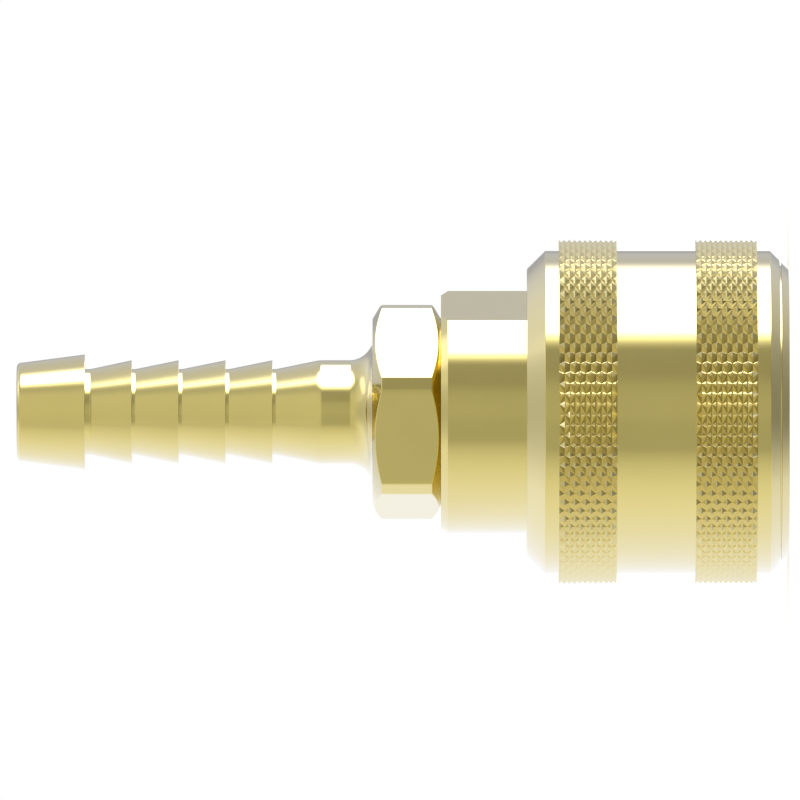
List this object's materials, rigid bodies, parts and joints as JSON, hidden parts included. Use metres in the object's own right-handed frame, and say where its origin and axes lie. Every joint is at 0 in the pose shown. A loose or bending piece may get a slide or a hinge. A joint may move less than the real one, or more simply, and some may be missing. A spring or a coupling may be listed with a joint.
{
  "type": "female hose coupling",
  "caption": "Quick-release hose socket in brass: a knurled sleeve slides back to free the locking balls, with a shut-off valve inside and a barbed tail on a hexagon.",
  "frame": {"origin": "on the coupling's axis at the mating face of the nose, where it stands when set down on its nose", "axes": "+Z along the axis from the mating nose to the end of the hose tail; X and Y square to it"},
  "size_m": [0.0336, 0.0336, 0.0751],
  "materials": {
    "body_brass": "turned, bright",
    "sleeve_brass": "turned, bright, with knurled bands",
    "inner_brass": "turned",
    "ball_steel": "ground and polished",
    "spring_wire": "drawn wire",
    "seal_rubber": "matt"
  },
  "bodies": {
    "coupling_body": {"socket_body": "body_brass", "hose_barb": "body_brass", "barb_seal": "seal_rubber", "nose_ring": "body_brass", "snap_ring": "spring_wire", "locking_ball_1": "ball_steel", "locking_ball_2": "ball_steel", "locking_ball_3": "ball_steel", "locking_ball_4": "ball_steel", "locking_ball_5": "ball_steel", "locking_ball_6": "ball_steel", "locking_ball_7": "ball_steel", "locking_ball_8": "ball_steel", "plug_seal": "seal_rubber", "valve_spring": "spring_wire", "valve_guide": "inner_brass"},
    "release_spring": {"sleeve_spring": "spring_wire"},
    "release_sleeve": {"sleeve": "sleeve_brass"},
    "valve": {"valve_poppet": "inner_brass", "valve_seal": "seal_rubber"}
  },
  "joints": [
    {"name": "sleeve_spin", "type": "hinge", "parent": "coupling_body", "child": "release_spring", "pos_m": [0, 0, 0.0131], "axis": [0, 0, 1], "continuous": true},
    {"name": "sleeve_slide", "type": "slide", "parent": "release_spring", "child": "release_sleeve", "axis": [0, 0, 1], "range_m": [0, 0.004], "stiffness_N_per_m": 450, "springref_m": -0.012, "deforming": ["sleeve_spring"]},
    {"name": "valve_slide", "type": "slide", "parent": "coupling_body", "child": "valve", "axis": [0, 0, 1], "range_m": [0, 0.0032], "stiffness_N_per_m": 1500, "springref_m": -0.003, "deforming": ["valve_spring"]}
  ]
}
